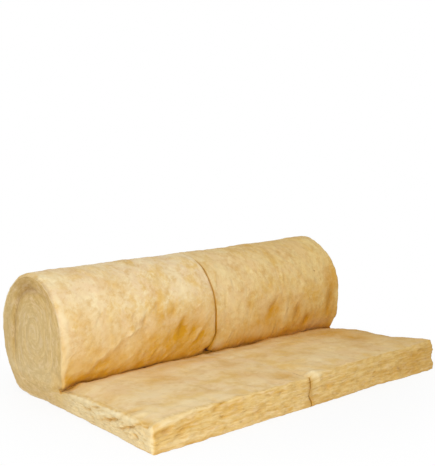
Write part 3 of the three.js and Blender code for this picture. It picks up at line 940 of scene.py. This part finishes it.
def glass_wool(c):
    """Glass mineral wool, blown fibre bound with amber resin: cloudy, dull and soft, layered where cut."""
    material = bpy.data.materials.new("glass_mineral_wool")
    tree = bare_tree(material)
    where = add(tree, "TexCoord").outputs["Object"]
    chart = add(tree, "UVMap", uv_map="mat").outputs["UV"]
    cut, amber, dark, torn = (add(tree, "Attribute", attribute_name=label).outputs["Fac"]
                              for label in ("cut", "amber", "dark", "torn"))
    place = add(tree, "SeparateXYZ", {0: where}).outputs
    lean = add(tree, "MapRange", {
        "Value": place["X"], "From Min": -0.001, "From Max": 0.001,
        "To Min": math.radians(-STREAK_TILT["left"]), "To Max": math.radians(-STREAK_TILT["right"])})
    slanted = add(tree, "VectorRotate", {"Vector": where, "Angle": lean}, rotation_type="Y_AXIS")
    axes = {"where": where, "slanted": slanted, "chart": chart}

    # the face is clouded, and the cut faces show pale, dark and amber layers by turns
    skin, flat, ends, layers = (clouded(tree, c, axes, *look) for look in (
        (c.cream, 0.68, SKIN_CLOUDS), (c.cream, 0.55, FLAT_CLOUDS),
        (c.sawn, 0.5, END_CLOUDS), (c.cut, 0.5, CUT_CLOUDS)))
    faced, opened = (add(tree, "Mix", {0: torn, 6: roll, 7: tongue}, data_type="RGBA").outputs[2]
                     for roll, tongue in ((skin, flat), (ends, layers)))
    tone = add(tree, "Mix", {0: cut, 6: faced, 7: opened}, data_type="RGBA").outputs[2]

    # uneven patterns for the resin's upper edge, its streaks and the wrinkles in the face
    patterns = {}
    for label, vector, size, detail, distortion, kind in (
            ("blot", where, (55, 55, 110), 3, 0, "FBM"),
            ("streak", slanted, (30, 22, 14), 5, 0.6, "FBM"),
            ("wrinkle", slanted, (60, 45, 30), 4, 0.6, "RIDGED_MULTIFRACTAL")):
        pattern = add(tree, "Mapping", {
            "Vector": vector, "Scale": np.array(size) / 1000}, vector_type="TEXTURE")
        patterns[label] = add(tree, "TexNoise", {
            "Vector": pattern, "Scale": 1, "Detail": detail, "Roughness": 0.6, "Distortion": distortion},
            noise_type=kind, normalize=True)

    # the tongue's upper face is yellower than the roll
    faced_torn = add(tree, "Math", {0: cut, 1: -1, 2: torn}, operation="MULTIPLY_ADD", use_clamp=True)
    yellower = add(tree, "Math", {0: faced_torn, 1: 0.22}, operation="MULTIPLY")

    # amber low on the roll's front, darker towards the bottom: partly resin, partly painted shade and warm
    # light bounced from the tongue; and amber in the marks: resin stains, and painted shade in the slit and
    # the crease
    right = add(tree, "MapRange", {"Value": place["X"], "From Min": -0.002, "From Max": 0.002})
    edge = place["Z"]
    for part, weight in ((patterns["blot"], -0.22), (right, 0.03)):
        edge = add(tree, "Math", {0: part, 1: weight, 2: edge}, operation="MULTIPLY_ADD")
    on_skin = add(tree, "Math", {0: 1, 1: cut}, operation="SUBTRACT")
    on_roll = on_skin
    for axis, start, end in (("Y", 0.02, 0.05), ("Z", 0.02, 0.06)):
        part = add(tree, "MapRange", {"Value": place[axis], "From Min": start, "From Max": end})
        on_roll = add(tree, "Math", {0: part, 1: on_roll}, operation="MULTIPLY")
    golden, low = (add(tree, "MapRange", {
        "Value": edge, "From Min": start, "From Max": end, "To Max": strength},
        interpolation_type="SMOOTHSTEP") for start, end, strength in ((0.2, 0.02, 0.65), (0.13, -0.03, 1)))
    golden, low = (
        add(tree, "Math", {0: part, 1: on_roll}, operation="MULTIPLY") for part in (golden, low))
    stain_and_shade = add(tree, "Math", {0: low, 1: amber}, operation="ADD")
    streak = add(tree, "MapRange", {
        "Value": patterns["streak"], "From Min": 0.34, "From Max": 0.6, "To Min": 0.55})
    stain_and_shade = add(tree, "Math", {0: stain_and_shade, 1: streak}, operation="MULTIPLY", use_clamp=True)

    # the right strip is a little browner than the left, most of all on the roll, and is painted darker
    # towards its right end as a painted shade where the light falls off
    browner_and_shaded = right
    for value, slope, start in ((torn, -0.5, 1), (place["X"], 0.9, 0.48)):
        part = add(tree, "Math", {0: value, 1: slope, 2: start}, operation="MULTIPLY_ADD")
        browner_and_shaded = add(tree, "Math", {0: browner_and_shaded, 1: part}, operation="MULTIPLY")

    # painted shade: dark in pockets, seams, pits, the slit, the crease and on the ends, with some darker
    # stains; pale where the wool is fluffed up, and painted highlights at the left rim, on the tongue's side
    # and on raised ridges
    hollow, fluffed_and_highlit = (
        add(tree, "Math", {0: dark, 1: sign}, operation="MULTIPLY", use_clamp=True) for sign in (1, -1))
    for amount, shade, blend in (
            (yellower, c.straw, "MIX"), (golden, c.straw, "MIX"), (stain_and_shade, c.resin, "MIX"),
            (browner_and_shaded, c.browned_and_shaded, "MULTIPLY"), (hollow, c.cavity_shade, "MIX"), (fluffed_and_highlit, c.pale, "MIX")):
        tone = add(tree, "Mix", {
            0: amount, 6: tone, 7: (*shade, 1)}, data_type="RGBA", blend_type=blend).outputs[2]

    # fine wrinkles in the face
    depth = add(tree, "Math", {0: on_skin, 1: faced_torn}, operation="SUBTRACT")
    depth = add(tree, "Math", {0: depth, 1: 0.7, 2: 0.3}, operation="MULTIPLY_ADD")
    depth = add(tree, "Math", {0: depth, 1: on_skin}, operation="MULTIPLY")
    wrinkled = add(tree, "Bump", {
        "Strength": depth, "Distance": WRINKLE_DEPTH, "Height": patterns["wrinkle"]})

    # matted fibre, drawn a few times coarser than glass fibre so that it shows
    matted = add(tree, "TexNoise", {
        "Vector": where, "Scale": 1 / FIBRE_CLUMP, "Detail": 8, "Roughness": 0.7, "Distortion": 1.2})
    rough = add(tree, "Math", {0: faced_torn, 1: -0.08, 2: 0.36}, operation="MULTIPLY_ADD")
    bump = add(tree, "Bump", {
        "Strength": rough, "Distance": FIBRE_DEPTH, "Height": matted, "Normal": wrinkled})
    shader = add(tree, "BsdfPrincipled", {
        "Base Color": tone, "Roughness": 0.95, "Specular IOR Level": 0.15,
        "Sheen Weight": 0.05, "Sheen Roughness": 0.6, "Normal": bump})
    add(tree, "OutputMaterial", {"Surface": shader})
    return material


def studio_paper(c):
    """Matt studio paper: an even, shadow-catching white that fades into the white behind it."""
    material = bpy.data.materials.new("matt_studio_paper")
    tree = bare_tree(material)
    paper = add(tree, "BsdfDiffuse", {"Color": (*c.floor, 1)})
    where = add(tree, "TexCoord").outputs["Object"]
    away = add(tree, "VectorMath", {0: where}, operation="LENGTH").outputs["Value"]
    fade = add(tree, "MapRange", {
        "Value": away, "From Min": 0.5, "From Max": 1, "To Min": 0.85}, interpolation_type="SMOOTHSTEP")
    amount = add(tree, "Math", {0: seen_directly(tree), 1: fade}, operation="MULTIPLY")
    white = add(tree, "Emission", {"Color": (1, 1, 1, 1), "Strength": 1})
    mix = add(tree, "MixShader", {0: amount, 1: paper, 2: white})
    add(tree, "OutputMaterial", {"Surface": mix})
    return material


# ---- operators

FLOOR_SIZE, FLOOR_DROP = 12, 0.0005
# Each lamp's name, place, width, power and tint; both look at LIT
LAMPS = (
    ("key_softbox", (-2.1, -2.5, 1.45), 1.8, 58, (1, 0.99, 0.96)),
    ("top_softbox", (-0.4, 0, 3), 3, 20, (1, 1, 1)),
)
LIT = Vector((0, -0.05, 0.15))
CAMERA_PLACE = (-1.941, -2.3222, 0.8881)
CAMERA_ANGLES = (-39.639, 7.418, -0.864)  # how it is turned, raised and rolled, in degrees
LENS = 70.54


class WOOL_OT_strips(bpy.types.Operator):
    """Build the two wool strips in place of their plain solids"""

    bl_idname = "wool.strips"
    bl_label = "Build Wool Strips"

    def execute(self, context):
        s = context.scene.wool_sizes
        material = glass_wool(context.scene.wool_colours)
        mat = Mat(s)
        shift = cad_low[1] + s.tongue
        for name, side in STRIPS.items():
            bm = wool_strip(name, side, mat, s)
            piece = finish_strip(name, side, bm, mat, s, shift)
            piece.data.materials.append(material)
            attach(piece, "root")
            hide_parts(name)
        return {"FINISHED"}


def aim(thing, back, roll=0):
    """Turns an object so that it looks against the direction back."""
    turn = (-back).to_track_quat("-Z", "Y") @ Quaternion((0, 0, 1), roll)
    thing.rotation_mode = "QUATERNION"
    thing.rotation_quaternion = turn


def lay_floor(scene):
    """The studio floor, a hair's breadth below the wool."""
    bm = bmesh.new()
    bmesh.ops.create_grid(bm, x_segments=1, y_segments=1, size=FLOOR_SIZE)
    mesh = bpy.data.meshes.new("studio_floor")
    bm.to_mesh(mesh)
    bm.free()
    mesh.materials.append(studio_paper(scene.wool_colours))
    floor = bpy.data.objects.new("studio_floor", mesh)
    floor.location.z = -FLOOR_DROP
    scene.collection.objects.link(floor)


def hang_lamps(scene):
    """The two soft boxes, and a white background with a softer light from all round."""
    for label, place, width, power, tint in LAMPS:
        lamp = bpy.data.lights.new(label, "AREA")
        lamp.shape, lamp.size, lamp.energy, lamp.color = "SQUARE", width, power, tint
        box = bpy.data.objects.new(label, lamp)
        box.location = place
        aim(box, (Vector(place) - LIT).normalized())
        scene.collection.objects.link(box)
    scene.world = bpy.data.worlds.new("white_studio")
    tree = bare_tree(scene.world)
    soft = add(tree, "Background", {"Color": (0.98, 0.99, 1, 1), "Strength": 0.5})
    white = add(tree, "Background", {"Color": (1, 1, 1, 1), "Strength": 1})
    mix = add(tree, "MixShader", {0: seen_directly(tree), 1: soft, 2: white})
    add(tree, "OutputWorld", {"Surface": mix})


def place_camera(scene):
    """The camera, looking down at the roll from its left front."""
    lens = bpy.data.cameras.new("studio_camera")
    lens.lens = LENS
    lens.clip_start, lens.clip_end = 0.05, 60
    camera = bpy.data.objects.new("studio_camera", lens)
    camera.location = CAMERA_PLACE
    turned, raised, rolled = (math.radians(angle) for angle in CAMERA_ANGLES)
    level = math.cos(raised)
    back = Vector((math.sin(turned) * level, -math.cos(turned) * level, math.sin(raised)))
    aim(camera, back, rolled)
    scene.collection.objects.link(camera)
    scene.camera = camera


class WOOL_OT_stage(bpy.types.Operator):
    """Lay the studio floor, hang the lamps and set up the camera"""

    bl_idname = "wool.stage"
    bl_label = "Set Up Stage"

    def execute(self, context):
        for part in (lay_floor, hang_lamps, place_camera):
            part(context.scene)
        context.scene.view_settings.view_transform = "Standard"
        return {"FINISHED"}


class WOOL_PT_panel(bpy.types.Panel):
    """Sizes, colours and build steps of the wool roll"""

    bl_label = "Wool Roll"
    bl_idname = "WOOL_PT_panel"
    bl_space_type = "VIEW_3D"
    bl_region_type = "UI"
    bl_category = "Wool Roll"

    def draw(self, context):
        for group in (context.scene.wool_sizes, context.scene.wool_colours):
            box = self.layout.box()
            for key in group.__annotations__:
                box.prop(group, key)
        for step in BUILD_STEPS:
            self.layout.operator(step.bl_idname)


BUILD_STEPS = (WOOL_OT_strips, WOOL_OT_stage)
CLASSES = (WoolRollSizes, WoolRollColours, *BUILD_STEPS, WOOL_PT_panel)


def register():
    for cls in CLASSES:
        bpy.utils.register_class(cls)
    bpy.types.Scene.wool_sizes = bpy.props.PointerProperty(type=WoolRollSizes)
    bpy.types.Scene.wool_colours = bpy.props.PointerProperty(type=WoolRollColours)


def unregister():
    del bpy.types.Scene.wool_colours
    del bpy.types.Scene.wool_sizes
    for cls in reversed(CLASSES):
        bpy.utils.unregister_class(cls)


def main():
    register()
    bpy.ops.wool.strips()
    bpy.ops.wool.stage()


if __name__ == "__main__":
    main()
